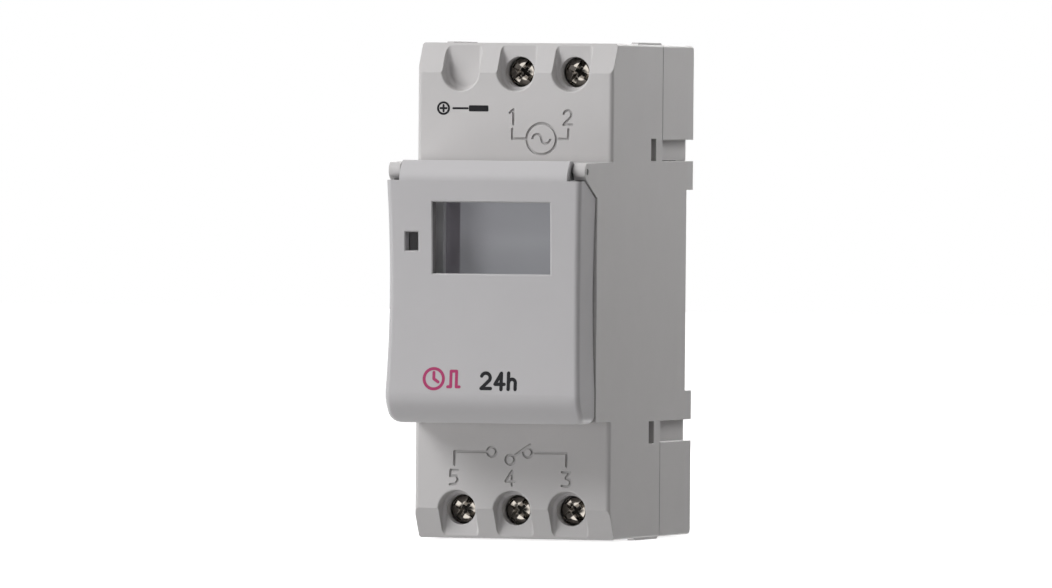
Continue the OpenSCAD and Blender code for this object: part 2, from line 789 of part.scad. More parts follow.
// Clear rod from the indicator lamp to the panel's face
module light_pipe() {
    color([0.86, 0.88, 0.88])
        block([lamp_x - 0.95, -panel_front + 0.1, lamp_z - 1.4],
              [lamp_x + 0.95, -board_front - 1, lamp_z + 1.4]);
}

// Rear face of the control board
board_back = board_front - board_t;

// Square package with four combs of leads
module processor() {
    centre = [7.5, -10];
    half = 4.5;
    lead = 1;
    color(BLACK)
        block([centre.x - half, -board_back + 0.1, centre.y - half],
              [centre.x + half, -board_back + 1.5, centre.y + half]);
    color(STEEL) for (i = [-5 : 5]) for (turn = [0, 90, 180, 270])
        translate([centre.x, -board_back, centre.y]) rotate([0, turn, 0])
            block([half - EPS, 0, i * 0.75 - 0.15], [half + lead, 0.3, i * 0.75 + 0.15]);
}

// Quartz can lying on the board
module crystal() {
    color(STEEL) translate([2.2, -board_back + 1.1, -3.5]) cylinder(h = 6, r = 1.05);
}

// Row of pins that joins the two boards
module board_header() {
    row = [-3, -1.8, -0.6, 0.6, 1.8, 3];
    color(BRASS) for (x = row) block([x - 0.25, -board_back, -19], [x + 0.25, -power_front, -18.5]);
    color(BLACK) block([-3.9, -board_back, -19.9], [3.9, -board_back + 2.4, -17.6]);
}

// Ring holder with a floor, soldered behind the control board
cell_pos = [-7, 8];
cell_r = 6.25;

module cell_holder() {
    color(BLACK) difference() {
        rod_y(cell_pos.x, cell_pos.y, cell_r + 0.8, -board_back, -board_back + 2.4);
        rod_y(cell_pos.x, cell_pos.y, cell_r + 0.1, -board_back + 0.8, -board_back + 3);
        block([cell_pos.x - 2, -board_back + 0.8, cell_pos.y - cell_r - 2],
              [cell_pos.x + 2, -board_back + 3, cell_pos.y]);
    }
}

module backup_cell() {
    color(STEEL) union() {
        rod_y(cell_pos.x, cell_pos.y, cell_r, -board_back + 1.3, -board_back + 2.9);
        rod_y(cell_pos.x, cell_pos.y, cell_r - 1, -board_back + 0.85, -board_back + 1.3 + EPS);
    }
}

// ---------------------------------------------------------------- power electronics

module power_board() {
    color(BOARD_GREEN)
        block([-power_half.x, -power_front, -power_half.y],
              [power_half.x, -power_front + board_t, power_half.y]);
}

// Sealed changeover relay
module relay() {
    color([0.85, 0.85, 0.82])
        block([-14.4, -power_front - 15.7, -14.5], [-1.7, -power_front, 14.5]);
}

// Film capacitor that drops the supply voltage
module drop_capacitor() {
    color([0.72, 0.60, 0.25]) block([0, -power_front - 14, -5], [8.2, -power_front, 13]);
}

// Electrolytic capacitor standing on the board
module smoothing_capacitor() {
    x = 9.6;
    z = -11;
    color([0.18, 0.22, 0.36]) difference() {
        rod_y(x, z, 4.8, -power_front - 12, -power_front);
        difference() {
            rod_y(x, z, 6, -power_front - 2.4, -power_front - 1.9);
            rod_y(x, z, 4.5, -power_front - 3, -power_front - 1);
        }
    }
}

// Surge absorber: a disc on two legs
module varistor() {
    x = 10.2;
    z = 6;
    disc_y = -power_front - 7;
    color([0.20, 0.35, 0.60]) rod_x(disc_y, z, 4.5, x, x + 3.4);
    color(STEEL) for (dz = [-2.5, 2.5])
        translate([x + 1.7, -power_front, z + dz]) rotate([90, 0, 0]) cylinder(h = 4, r = 0.35);
}

module rectifier() {
    color(BLACK) block([1.5, -power_front - 2.6, -27], [8, -power_front, -21]);
}

// Five fixed strips: each runs through its cage and back to the power board
module contact_tongues() {
    half = 2.1;
    leg_z = 31.6;
    color(BRASS) for (t = terminals) mirror([0, 0, t[1] > 0 ? 0 : 1]) union() {
        block([t[0] - half, -tongue_y, leg_z], [t[0] + half, -tongue_y + tongue_t, terminal_z + 2.8]);
        block([t[0] - half, -tongue_y, leg_z - 0.8], [t[0] + half, -power_front, leg_z]);
    }
}

// ---------------------------------------------------------------- terminals

// Screw with a cross recess; its shank runs in the cage's front plate
module terminal_screw(t) {
    x = t[0];
    z = t[1] * terminal_z;
    recess_half = 2;
    recess_w = 0.9;
    recess_d = 1.2;
    color(STEEL) difference() {
        union() {
            rod_y(x, z, head_r, -head_front, -head_front + head_t);
            rod_y(x, z, shank_r, -head_front + head_t - EPS, -shank_end);
        }
        for (turn = [45, 135]) translate([x, -head_front - 1, z]) rotate([0, turn, 0])
            block([-recess_half, 0, -recess_w / 2], [recess_half, 1 + recess_d, recess_w / 2]);
        rod_y(x, z, recess_w * 0.9, -head_front - 1, -head_front + recess_d + 0.3);
    }
}

// Cage: a square tube whose front plate rides on the screw
module terminal_cage(t) {
    x = t[0];
    z = t[1] * terminal_z;
    half_z = 2.9;
    color(BRASS) difference() {
        block([x - cage_half, -cage_plate_y, z - half_z], [x + cage_half, -cage_back_y, z + half_z]);
        block([x - cage_half + cage_wall, -cage_plate_y + cage_plate_t, z - half_z - 1],
              [x + cage_half - cage_wall, -cage_back_y - cage_back_t, z + half_z + 1]);
        rod_y(x, z, shank_r + fit_gap, -cage_plate_y - 1, -cage_plate_y + cage_plate_t + 1);
    }
}

front_housing();
rear_base();
rail_latch();
latch_spring();
door();
control_panel();
lcd_glass();
lcd_frame();
lcd_connector();
control_board();
key_switches();
key_clock();
key_program();
key_day();
key_hour();
key_minute();
key_manual();
key_reset();
status_led();
light_pipe();
processor();
crystal();
board_header();
cell_holder();
backup_cell();
power_board();
relay();
drop_capacitor();
smoothing_capacitor();
varistor();
rectifier();
contact_tongues();
terminal_screw(terminals[0]);  // terminal_screw_1
terminal_screw(terminals[1]);  // terminal_screw_2
terminal_screw(terminals[2]);  // terminal_screw_3
terminal_screw(terminals[3]);  // terminal_screw_4
terminal_screw(terminals[4]);  // terminal_screw_5
terminal_cage(terminals[0]);  // terminal_cage_1
terminal_cage(terminals[1]);  // terminal_cage_2
terminal_cage(terminals[2]);  // terminal_cage_3
terminal_cage(terminals[3]);  // terminal_cage_4
terminal_cage(terminals[4]);  // terminal_cage_5
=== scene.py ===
"""Looks of a two-module DIN rail timer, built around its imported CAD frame.

X is the width, -Y the front and Z up. Lengths named with MM are metres. Sign outlines are in millimetres.
"""

import json
import math

import bmesh
import bpy
from mathutils import Matrix, Vector


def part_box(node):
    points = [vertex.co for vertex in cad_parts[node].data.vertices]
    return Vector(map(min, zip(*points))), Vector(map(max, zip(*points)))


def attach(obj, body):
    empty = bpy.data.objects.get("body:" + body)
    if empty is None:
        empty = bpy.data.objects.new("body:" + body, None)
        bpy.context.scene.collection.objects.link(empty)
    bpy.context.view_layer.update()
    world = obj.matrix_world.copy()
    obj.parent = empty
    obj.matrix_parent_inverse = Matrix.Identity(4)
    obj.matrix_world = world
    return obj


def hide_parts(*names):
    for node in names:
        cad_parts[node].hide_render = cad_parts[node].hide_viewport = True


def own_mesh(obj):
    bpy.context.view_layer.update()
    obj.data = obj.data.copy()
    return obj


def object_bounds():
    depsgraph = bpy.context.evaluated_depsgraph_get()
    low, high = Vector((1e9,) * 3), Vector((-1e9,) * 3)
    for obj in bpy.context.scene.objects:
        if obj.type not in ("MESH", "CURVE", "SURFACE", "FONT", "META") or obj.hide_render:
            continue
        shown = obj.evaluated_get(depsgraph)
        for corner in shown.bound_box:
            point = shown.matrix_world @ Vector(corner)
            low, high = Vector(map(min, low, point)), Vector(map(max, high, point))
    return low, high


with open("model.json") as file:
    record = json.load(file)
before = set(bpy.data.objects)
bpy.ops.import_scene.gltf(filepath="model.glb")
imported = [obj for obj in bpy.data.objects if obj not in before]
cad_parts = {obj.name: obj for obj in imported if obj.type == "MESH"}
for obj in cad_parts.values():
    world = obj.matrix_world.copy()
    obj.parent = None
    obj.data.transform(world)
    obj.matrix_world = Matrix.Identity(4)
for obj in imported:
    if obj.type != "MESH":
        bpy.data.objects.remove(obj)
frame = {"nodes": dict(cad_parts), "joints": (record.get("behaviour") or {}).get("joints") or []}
cad_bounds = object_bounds()

MM = 0.001


# ------------------------------------------------------------------ places that the frame gives

def joint(name):
    """The frame's joint of that name."""
    return next(j for j in frame["joints"] if j["name"] == name)


KEYS = ("clock", "program", "day", "hour", "minute", "manual", "reset")
SCREWS = {i: Vector(joint(f"screw_{i}_turn")["pos_m"]) for i in range(1, 6)}

door_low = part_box("door")[0]
lcd_low, lcd_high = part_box("lcd_glass")
screw_low, screw_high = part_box("terminal_screw_1")
rear_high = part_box("rear_base")[1]

# Lower left and upper right corners, as (x, z), of the door's two openings
DISPLAY_WINDOW = ((-9.2 * MM, 3.1 * MM), (12 * MM, 15.4 * MM))
LAMP_WINDOW = ((-14.15 * MM, 7 * MM), (-11.85 * MM, 10.2 * MM))

# The display face starts this far from the glass's left edge
DISPLAY_MARGIN = 4.3 * MM

# The screw heads lie behind the front face of the terminal shoulders
SHOULDER_Y = SCREWS[1].y - 4.25 * MM
HEAD_Y = screw_low.y
HEAD_R = (screw_high.x - screw_low.x) / 2

# The door's front face swells forward towards these two heights
DOOR_SWELL = 0.8 * MM
DOOR_MID_Y = door_low.y + DOOR_SWELL
SWELL_LOW_Z = -17.5 * MM
SWELL_TOP_Z = 19 * MM


def door_surface(z):
    """Depth of the door's front face at a height between its two swells."""
    crest = SWELL_TOP_Z if z > 0 else SWELL_LOW_Z
    return DOOR_MID_Y - DOOR_SWELL * (z / crest) ** 2


def level(y):
    """The depth of a flat face, which is the same at every height."""
    return lambda _z: y


# ------------------------------------------------------------------ shader nodes

def new_material(name):
    """A new node material: (material, node tree, principled shader)."""
    mat = bpy.data.materials.new(name)
    mat.use_nodes = True
    tree = mat.node_tree
    return mat, tree, tree.nodes["Principled BSDF"]


def add(tree, kind, **values):
    """A new node; values set its inputs by name, or its properties where no input has that name."""
    node = tree.nodes.new(kind)
    for key, value in values.items():
        if key in node.inputs:
            node.inputs[key].default_value = value
        else:
            setattr(node, key, value)
    return node


def coordinates(tree, stretch=(1, 1, 1)):
    """Object coordinates, in metres, stretched along the axes."""
    where = add(tree, "ShaderNodeTexCoord")
    mapping = add(tree, "ShaderNodeMapping", Scale=stretch)
    tree.links.new(where.outputs["Object"], mapping.inputs["Vector"])
    return mapping.outputs["Vector"]


def axes(tree, kind="Object"):
    """Coordinates of one kind, split along the axes."""
    where = add(tree, "ShaderNodeTexCoord")
    split = add(tree, "ShaderNodeSeparateXYZ")
    tree.links.new(where.outputs[kind], split.inputs["Vector"])
    return split.outputs


def noise(tree, vector, size, detail=2.0):
    """Noise with features of about that size, from 0 to 1."""
    node = add(tree, "ShaderNodeTexNoise", Scale=1 / size, Detail=detail, Roughness=0.6)
    tree.links.new(vector, node.inputs["Vector"])
    return node.outputs["Fac"]


def mapped(tree, value, start, end, low, high, shape="LINEAR"):
    """A value that runs from low to high while another runs from start to end."""
    node = add(tree, "ShaderNodeMapRange", interpolation_type=shape)
    for name, number in (("From Min", start), ("From Max", end), ("To Min", low), ("To Max", high)):
        node.inputs[name].default_value = number
    tree.links.new(value, node.inputs["Value"])
    return node.outputs["Result"]


def eased(tree, value, start, end, low, high):
    """The same as mapped, with soft ends."""
    return mapped(tree, value, start, end, low, high, "SMOOTHSTEP")


def spread(tree, factor, low, high):
    """Noise spread between low and high."""
    return mapped(tree, factor, 0.3, 0.7, low, high)


def maths(tree, operation, first, second=None):
    """One step of arithmetic on a value, and on a second value or number."""
    node = add(tree, "ShaderNodeMath", operation=operation)
    tree.links.new(first, node.inputs[0])
    if isinstance(second, float):
        node.inputs[1].default_value = second
    elif second:
        tree.links.new(second, node.inputs[1])
    return node.outputs[0]


def blended(tree, factor, first, second):
    """A colour between two others."""
    node = add(tree, "ShaderNodeMix", data_type="RGBA")
    tree.links.new(factor, node.inputs["Factor"])
    colour_inputs = [s for s in node.inputs if s.type == "RGBA"]
    colour_inputs[0].default_value = (*first, 1)
    colour_inputs[1].default_value = (*second, 1)
    return next(s for s in node.outputs if s.type == "RGBA")


def dimmed(tree, tint, share):
    """A colour times a share."""
    node = add(tree, "ShaderNodeVectorMath", operation="SCALE")
    tree.links.new(tint, node.inputs[0])
    tree.links.new(share, node.inputs["Scale"])
    return node.outputs["Vector"]


def eased_normal(tree, radius):
    """A normal that is eased over the mesh's edges."""
    node = add(tree, "ShaderNodeBevel", Radius=radius)
    node.samples = 6
    return node.outputs["Normal"]


def painted_crease_shade(tree, tint, strength, reach):
    """Painted shade: a colour that gets darker in narrow gaps and inner corners, where shade falls."""
    openness = add(tree, "ShaderNodeAmbientOcclusion", Distance=reach)
    openness.samples = 8
    return dimmed(tree, tint, mapped(tree, openness.outputs["AO"], 0.35, 0.95, 1 - strength, 1))


# ------------------------------------------------------------------ materials

PLASTIC_GLOSS = 0.26
POLISHED_GLOSS = 0.5


def scaled(colour, gain):
    """A colour made lighter or darker."""
    return tuple(min(1.0, c * gain) for c in colour)


def surface(name, colour, roughness, metal=0.0, clear=0.0, coat=0.0, gloss=PLASTIC_GLOSS,
            grain=0.008, grain_size=0.22, mottle=0.03, mottle_size=9.0, stretch=(1, 1, 1),
            edge=0.12, crease_shade=0.0, crease_shade_reach=1.6):
    """A material with a mottled colour, uneven gloss, a fine grain and eased edges.

    Sizes are in millimetres. The crease shade is painted shade: how much darker the colour gets in inner
    corners, where shade falls.
    """
    mat, tree, shader = new_material(name)
    where = coordinates(tree, stretch)
    cloud = noise(tree, where, mottle_size * MM, 3.0)
    fine = noise(tree, where, grain_size * MM)
    tint = blended(tree, cloud, scaled(colour, 1 - mottle), scaled(colour, 1 + mottle))
    # Painted shade: the colour gets darker in inner corners and creases
    if crease_shade:
        tint = painted_crease_shade(tree, tint, crease_shade, crease_shade_reach * MM)
    tree.links.new(tint, shader.inputs["Base Color"])
    tree.links.new(spread(tree, fine, roughness * 0.88, roughness * 1.14), shader.inputs["Roughness"])
    bump = add(tree, "ShaderNodeBump", Strength=1.0, Distance=grain * MM)
    tree.links.new(fine, bump.inputs["Height"])
    if edge:
        tree.links.new(eased_normal(tree, edge * MM), bump.inputs["Normal"])
    tree.links.new(bump.outputs["Normal"], shader.inputs["Normal"])
    shader.inputs["Metallic"].default_value = metal
    shader.inputs["Transmission Weight"].default_value = clear
    shader.inputs["Coat Weight"].default_value = coat
    polished = metal or clear or coat
    shader.inputs["Specular IOR Level"].default_value = POLISHED_GLOSS if polished else gloss
    return mat


def circuit_board(name):
    """Green solder resist over copper tracks, with the woven glass just showing."""
    mat, tree, shader = new_material(name)
    where = coordinates(tree)
    upright = add(tree, "ShaderNodeMapping", Rotation=(math.radians(90), 0, 0))
    tree.links.new(where, upright.inputs["Vector"])
    tracks = add(tree, "ShaderNodeTexBrick", Scale=1 / (2.6 * MM))
    tracks.inputs["Color1"].default_value = (0.022, 0.105, 0.045, 1)
    tracks.inputs["Color2"].default_value = (0.028, 0.125, 0.052, 1)
    tracks.inputs["Mortar"].default_value = (0.045, 0.19, 0.075, 1)
    tracks.inputs["Mortar Size"].default_value = 0.05
    tree.links.new(upright.outputs["Vector"], tracks.inputs["Vector"])
    tree.links.new(tracks.outputs["Color"], shader.inputs["Base Color"])
    weave = noise(tree, where, 0.5 * MM)
    tree.links.new(spread(tree, weave, 0.3, 0.42), shader.inputs["Roughness"])
    bump = add(tree, "ShaderNodeBump", Strength=0.6, Distance=0.02 * MM)
    tree.links.new(tracks.outputs["Fac"], bump.inputs["Height"])
    tree.links.new(bump.outputs["Normal"], shader.inputs["Normal"])
    shader.inputs["Coat Weight"].default_value = 0.4
    return mat


def painted_display_face(name):
    """A blank liquid-crystal display, grey-blue, with painted light and shade: lighter on the left, where
    its window shades it, darker low down, where more light falls, and a faint painted glow.
    """
    mat, tree, shader = new_material(name)
    place = axes(tree)
    middle = (lcd_low.x + lcd_high.x) / 2
    # Painted light and shade: lighter on the left and darker low down
    across = eased(tree, place["X"], lcd_low.x + DISPLAY_MARGIN, middle + 2 * MM, 0, 1)
    base = blended(tree, across, (0.52, 0.52, 0.565), (0.39, 0.395, 0.42))
    (_, low), (_, high) = DISPLAY_WINDOW
    height = eased(tree, place["Z"], low + 2.5 * MM, high - 3.5 * MM, 0.68, 1)
    tree.links.new(dimmed(tree, base, height), shader.inputs["Base Color"])
    # Painted light: a faint glow over the whole face
    shader.inputs["Emission Color"].default_value = (0.97, 0.98, 1.04, 1)
    shader.inputs["Emission Strength"].default_value = 0.075
    fine = noise(tree, coordinates(tree), 0.6 * MM)
    tree.links.new(spread(tree, fine, 0.2, 0.26), shader.inputs["Roughness"])
    return mat


def light_pipe_painted_glow(name):
    """Clear plastic with painted light: a faint glow on its face, darker on the left and brighter towards
    the right.
    """
    mat, tree, shader = new_material(name)
    left = LAMP_WINDOW[0][0]
    across = eased(tree, axes(tree)["X"], left + 0.2 * MM, left + 1.0 * MM, 0, 1)
    base = blended(tree, across, (0.20, 0.19, 0.19), (0.32, 0.31, 0.31))
    tree.links.new(base, shader.inputs["Base Color"])
    tree.links.new(base, shader.inputs["Emission Color"])
    shader.inputs["Emission Strength"].default_value = 0.22
    fine = noise(tree, coordinates(tree), 0.3 * MM)
    tree.links.new(spread(tree, fine, 0.3, 0.4), shader.inputs["Roughness"])
    shader.inputs["Specular IOR Level"].default_value = 0.3
    return mat


# One material for each slot of the record: colour, roughness and what makes it different
FINISHES = {
    # The crease values on the housing and door greys paint shade into their inner corners and creases
    "housing_grey": ((0.575, 0.562, 0.563), 0.5, dict(grain=0.006, edge=0.16, crease_shade=0.2)),
    "door_grey": ((0.522, 0.512, 0.524), 0.46, dict(grain=0.006, edge=0.2, crease_shade=0.6, crease_shade_reach=1.2)),
    "latch_plastic": ((0.030, 0.030, 0.033), 0.42, {}),
    "spring_steel": ((0.50, 0.50, 0.52), 0.28, dict(metal=1.0, edge=0)),
    "panel_grey": ((0.52, 0.525, 0.53), 0.45, dict(edge=0.14)),
    "display_glass": ((0.44, 0.415, 0.465), 0.12, dict(grain=0.001, edge=0.08, coat=0.5)),
    "carrier_white": ((0.70, 0.70, 0.67), 0.45, {}),
    "elastomer": ((0.42, 0.14, 0.18), 0.7, dict(grain=0.02, stretch=(6, 1, 1))),
    "component_black": ((0.018, 0.018, 0.020), 0.5, dict(grain=0.01)),
    "key_dark": ((0.045, 0.050, 0.058), 0.5, dict(edge=0.2)),
    "key_accent": ((0.30, 0.035, 0.10), 0.5, dict(edge=0.2)),
    "lamp_red": ((0.50, 0.02, 0.02), 0.2, dict(edge=0.1)),
    "clear_plastic": ((0.80, 0.82, 0.82), 0.12, dict(grain=0.001, clear=0.85)),
    "can_steel": ((0.48, 0.48, 0.49), 0.3, dict(metal=1.0, stretch=(1, 8, 1))),
    "brass": ((0.62, 0.42, 0.17), 0.32, dict(metal=1.0, stretch=(1, 1, 6))),
    "relay_case": ((0.60, 0.60, 0.55), 0.25, dict(edge=0.25)),
    "film_yellow": ((0.42, 0.25, 0.035), 0.3, dict(edge=0.3)),
    "sleeve_blue": ((0.02, 0.03, 0.09), 0.22, dict(edge=0.2)),
    "varistor_blue": ((0.02, 0.07, 0.25), 0.3, dict(grain=0.03, grain_size=0.6, edge=0.4)),
    "screw_nickel": ((0.195, 0.18, 0.163), 0.11,
                     dict(metal=1.0, grain=0.006, grain_size=0.4, mottle=0.12, mottle_size=1.4, edge=0.06)),
    "cage_plated": ((0.50, 0.47, 0.42), 0.34, dict(metal=1.0, stretch=(1, 5, 1))),
}
MATERIALS = {slot: surface(slot, colour, rough, **more) for slot, (colour, rough, more) in FINISHES.items()}
MATERIALS["board_green"] = circuit_board("board_green")

DISPLAY_PAINTED_FACE = painted_display_face("painted_display_face")
PIPE_PAINTED_GLOW = light_pipe_painted_glow("light_pipe_painted_glow")
# Painted shade: a dark grey for faces that lie deep in openings, where shadow falls
PAINTED_SHADE_GREY = surface("painted_shade_grey", (0.15, 0.145, 0.145), 0.6, grain=0.006, edge=0)
PRINT_BLACK = surface("print_black", (0.014, 0.014, 0.016), 0.6, edge=0, gloss=0.08)
PRINT_MAGENTA = surface("print_magenta", (0.37, 0.035, 0.125), 0.55, edge=0)
PRINT_WHITE = surface("print_white", (0.62, 0.62, 0.60), 0.55, edge=0)


# ------------------------------------------------------------------ mesh helpers

WELD = 0.001 * MM
FLAT_ANGLE = math.radians(0.5)


def new_object(name, bm):
    """An object in the scene from a bmesh, which is freed."""
    mesh = bpy.data.meshes.new(name)
    bmesh.ops.recalc_face_normals(bm, faces=bm.faces)
    bm.to_mesh(mesh)
    bm.free()
    obj = bpy.data.objects.new(name, mesh)
    bpy.context.scene.collection.objects.link(obj)
    return obj


def join_rings(bm, rings):
    """Faces between neighbouring rings of vertices; a ring of one repeated vertex is a point."""
    for first, second in zip(rings, rings[1:]):
        for i in range(len(first)):
            j = (i + 1) % len(first)
            corners = dict.fromkeys([first[i], first[j], second[j], second[i]])
            bm.faces.new(list(corners))


def cap_rings(bm, rings):
    """Closes both ends of a run of rings."""
    bm.faces.new(rings[0])
    bm.faces.new(rings[-1][::-1])


def flat_regions(bm):
    """For each face, the area of the flat region that it belongs to."""
    area = {}
    for start in bm.faces:
        if start in area:
            continue
        group = {start}
        reach = [start]
        while reach:
            for edge in reach.pop().edges:
                if len(edge.link_faces) == 2 and edge.calc_face_angle() < FLAT_ANGLE:
                    fresh = [f for f in edge.link_faces if f not in group]
                    group.update(fresh)
                    reach += fresh
        total = sum(f.calc_area() for f in group)
        area.update((f, total) for f in group)
    return area


def smooth_fans(vert, limit):
    """The corners at a vertex, in groups with no edge sharper than the limit inside."""
    left = {loop.face: loop for loop in vert.link_loops}
    while left:
        face, loop = left.popitem()
        fan = [loop]
        reach = [face]
        while reach:
            for edge in reach.pop().edges:
                if vert in edge.verts and len(edge.link_faces) == 2 and edge.calc_face_angle() < limit:
                    for near in edge.link_faces:
                        if near in left:
                            fan.append(left.pop(near))
                            reach.append(near)
        yield fan


def smooth(obj, angle=28):
    """Smooth shading where faces meet at less than the angle; the widest flat face sets the normal."""
    obj.data.shade_smooth()
    bm = bmesh.new()
    bm.from_mesh(obj.data)
    area = flat_regions(bm)
    normals = [None] * len(obj.data.loops)
    for vert in bm.verts:
        for fan in smooth_fans(vert, math.radians(angle)):
            widest = max(area[loop.face] for loop in fan)
            normal = Vector()
            for loop in fan:
                if area[loop.face] > widest / 3:
                    normal += loop.face.normal * loop.calc_angle()
            for loop in fan:
                normals[loop.index] = normal.normalized()
    bm.free()
    obj.data.normals_split_custom_set(normals)


def dress(piece, body, slot, *nodes, material=None):
    """Gives a piece its material, chosen by slot unless one is given, and its body, and lets it stand for
    CAD nodes.
    """
    piece.data.materials.clear()
    piece.data.materials.append(material or MATERIALS[slot])
    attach(piece, body)
    if nodes:
        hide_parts(*nodes)
    return piece


def from_node(node, name, body, slot, angle=28, material=None):
    """A piece with a node's shape: its seams welded and its curved faces shaded smooth."""
    bm = bmesh.new()
    bm.from_mesh(frame["nodes"][node].data)
    bmesh.ops.remove_doubles(bm, verts=bm.verts, dist=WELD)
    obj = new_object(name, bm)
    smooth(obj, angle)
    return dress(obj, body, slot, node, material=material)


def lathe(profile, steps=48):
    """A turned solid about the Y axis from a profile of (radius, y), whose ends lie on the axis."""
    bm = bmesh.new()
    angles = [2 * math.pi * i / steps for i in range(steps)]
    rings = []
    for radius, y in profile:
        if radius == 0:
            rings.append([bm.verts.new((0, y, 0))] * steps)
        else:
            rings.append([bm.verts.new((radius * math.cos(a), y, radius * math.sin(a))) for a in angles])
    join_rings(bm, rings)
    return bm


def eased_box(name, low, high, radius):
    """A box between two corners, with rounded edges."""
    bm = bmesh.new()
    middle = (Vector(low) + Vector(high)) / 2
    size = Vector(high) - Vector(low)
    bmesh.ops.create_cube(bm, size=1, matrix=Matrix.LocRotScale(middle, None, size))
    bmesh.ops.bevel(bm, geom=bm.edges[:], offset=radius, segments=3, profile=0.5, affect="EDGES")
    obj = new_object(name, bm)
    smooth(obj, 40)
    return obj


def combine(obj, other, operation):
    """Changes an object by a boolean with another, which is removed; a union joins its own overlaps too."""
    step = obj.modifiers.new("combine", "BOOLEAN")
    step.operation = operation
    step.solver = "EXACT"
    step.use_self = operation == "UNION"
    step.object = other
    graph = bpy.context.evaluated_depsgraph_get()
    mesh = bpy.data.meshes.new_from_object(obj.evaluated_get(graph))
    obj.modifiers.remove(step)
    obj.data = mesh
    bpy.data.objects.remove(other)


def between(low, point, high):
    """Whether a point lies between two corners."""
    return all(a < p < b for a, p, b in zip(low, point, high))


def paint_shade_on_faces(obj, chosen):
    """Painted shade: a dark grey for the faces whose centre is chosen, where shadow falls deep in an
    opening.
    """
    obj.data.materials.append(PAINTED_SHADE_GREY)
    for face in obj.data.polygons:
        if chosen(face.center):
            face.material_index = 1


# ------------------------------------------------------------------ shells and door

RIM_EASE = 0.2 * MM

# The upper right snap hook's box, inside which faces get painted shade; the other three are its mirror
# images
HOOK_LOW = (rear_high.x - 1.3 * MM, -22 * MM, 22 * MM)
HOOK_HIGH = (rear_high.x - 0.9 * MM, -17 * MM, 27 * MM)


def ease_rim(door, low, high):
    """Chamfers the front edge of an opening between two (x, z) corners, along the door's swollen face."""
    reach = RIM_EASE + 0.5 * MM
    steps = 8
    left, right = low[0] - reach, high[0] + reach
    bottom, top = low[1] - reach, high[1] + reach
    heights = [low[1] + (high[1] - low[1]) * i / steps for i in range(steps + 1)]
    bm = bmesh.new()
    rings = []
    for z in [bottom, *heights, top]:
        depth = max(min(reach, z - bottom, top - z), 0.01 * MM)
        front = door_surface(z) - reach + RIM_EASE
        back = front + depth
        outline = ((left, front), (left + depth, back), (right - depth, back), (right, front))
        rings.append([bm.verts.new((x, y, z)) for x, y in outline])
    join_rings(bm, rings)
    cap_rings(bm, rings)
    combine(door, new_object("cutter", bm), "DIFFERENCE")


def build_rear_base():
    """The rear shell, with painted shade on the hooks of its four snap arms, as they lie deep in their
    windows.
    """
    base = from_node("rear_base", "rear_base_shell", "housing", "housing_grey")
    paint_shade_on_faces(base, lambda c: between(HOOK_LOW, (abs(c.x), c.y, abs(c.z)), HOOK_HIGH))


def build_door():
    """The door, with eased windows; the left wall of its display window has painted shade."""
    door = from_node("door", "door_cover", "door", "door_grey")
    for low, high in (DISPLAY_WINDOW, LAMP_WINDOW):
        ease_rim(door, low, high)
    smooth(door)
    (left, bottom), (_, top) = DISPLAY_WINDOW
    reach = 0.05 * MM
    low, high = (left - reach, -1, bottom), (left + reach, 0, top)
    paint_shade_on_faces(door, lambda c: between(low, c, high))


# ------------------------------------------------------------------ printed signs

CELL_RUN = 0.5
INK_PROUD = 0.025 * MM
INK_SUNK = 0.03 * MM


def arc(x, z, radius, start, end, steps=24):
    """Points along an arc, with angles in degrees from +X."""
    angles = [math.radians(start + (end - start) * i / steps) for i in range(steps + 1)]
    return [(x + radius * math.cos(a), z + radius * math.sin(a)) for a in angles]


def box_lines(left, bottom, right, top):
    """The four sides of a box and the line along its middle."""
    middle = (bottom + top) / 2
    return [[(left, bottom), (right, bottom)], [(left, top), (right, top)], [(left, bottom), (left, top)],
            [(right, bottom), (right, top)], [(left, middle), (right, middle)]]


def stroke(points, width):
    """The cells that a pen covers along a line of points: short lengths, and a disc at each point."""
    cells = []
    for (x0, z0), (x1, z1) in zip(points, points[1:]):
        run = math.hypot(x1 - x0, z1 - z0)
        dx = -(z1 - z0) / run * width / 2
        dz = (x1 - x0) / run * width / 2
        parts = max(1, round(run / CELL_RUN))
        marks = [(x0 + (x1 - x0) * i / parts, z0 + (z1 - z0) * i / parts) for i in range(parts + 1)]
        for (ax, az), (bx, bz) in zip(marks, marks[1:]):
            cells.append([(ax + dx, az + dz), (ax - dx, az - dz), (bx - dx, bz - dz), (bx + dx, bz + dz)])
    for x, z in points:
        cells.append(arc(x, z, width / 2, 0, 330, 11))
    return cells


def printed(name, lines, width, body, slot, material, depth_at):
    """Ink on a face: a thin closed skin that follows the face's depth. Lines are in millimetres."""
    bm = bmesh.new()
    for line in lines:
        for cell in stroke(line, width):
            rings = [[bm.verts.new((x * MM, depth_at(z * MM) + lift, z * MM)) for x, z in cell]
                     for lift in (-INK_PROUD, INK_SUNK)]
            join_rings(bm, rings)
            cap_rings(bm, rings)
    ink = new_object(name, bm)
    combine(ink, new_object("nothing", bmesh.new()), "UNION")
    dress(ink, body, slot, material=material)


